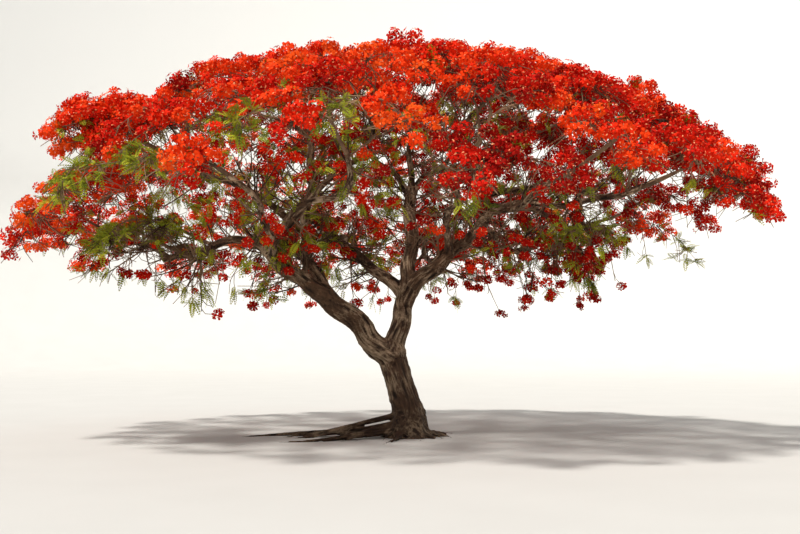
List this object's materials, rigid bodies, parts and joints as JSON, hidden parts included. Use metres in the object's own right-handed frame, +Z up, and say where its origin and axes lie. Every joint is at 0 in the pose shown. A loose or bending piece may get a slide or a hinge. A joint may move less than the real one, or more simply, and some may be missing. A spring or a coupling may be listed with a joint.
{
  "type": "flame tree",
  "caption": "Broad flat-topped tree in red blossom: a short leaning trunk with root ridges, forked stems, long spreading boughs and a wide shady crown; it stands rooted at its flat cut.",
  "frame": {"origin": "middle of the flat cut under the trunk, at ground level", "axes": "+Z up; +X towards the long right-hand bough as the tree is usually seen; +Y away from the side that it is seen from"},
  "size_m": [13.2509, 12.7107, 7.1856],
  "materials": {
    "bark": "rough, fluted bark",
    "blossom": "soft matte petals",
    "foliage": "soft matte leaflets"
  },
  "bodies": {
    "root": {"bloom_crown_top": "blossom", "bloom_far_left": "blossom", "bloom_far_mid_left": "blossom", "bloom_far_mid_right": "blossom", "bloom_far_right": "blossom", "bloom_left_far": "blossom", "bloom_left_lobe": "blossom", "bloom_left_tip": "blossom", "bloom_near_left": "blossom", "bloom_near_mid_left": "blossom", "bloom_near_mid_right": "blossom", "bloom_near_right": "blossom", "bloom_right_far": "blossom", "bloom_right_near": "blossom", "bloom_right_tip": "blossom", "bloom_top_far_left": "blossom", "bloom_top_far_right": "blossom", "bloom_top_left": "blossom", "bloom_top_left_far": "blossom", "bloom_top_near_left": "blossom", "bloom_top_near_right": "blossom", "bloom_top_right": "blossom", "bough_crown_top": "bark", "bough_far_left": "bark", "bough_far_mid_left": "bark", "bough_far_mid_right": "bark", "bough_far_right": "bark", "bough_left_far": "bark", "bough_left_lobe": "bark", "bough_left_tip": "bark", "bough_low_left": "bark", "bough_low_right": "bark", "bough_near_left": "bark", "bough_near_mid_left": "bark", "bough_near_mid_right": "bark", "bough_near_right": "bark", "bough_right_far": "bark", "bough_right_near": "bark", "bough_right_tip": "bark", "bough_top_far_left": "bark", "bough_top_far_right": "bark", "bough_top_left": "bark", "bough_top_left_far": "bark", "bough_top_near_left": "bark", "bough_top_near_right": "bark", "bough_top_right": "bark", "centre_stem": "bark", "leaves_low_left": "foliage", "leaves_low_right": "foliage", "left_arm": "bark", "left_low_limb": "bark", "left_stem": "bark", "left_upright": "bark", "mid_left_limb": "bark", "mid_stem": "bark", "right_stem": "bark", "right_upright": "bark", "trunk": "bark"}
  },
  "joints": []
}
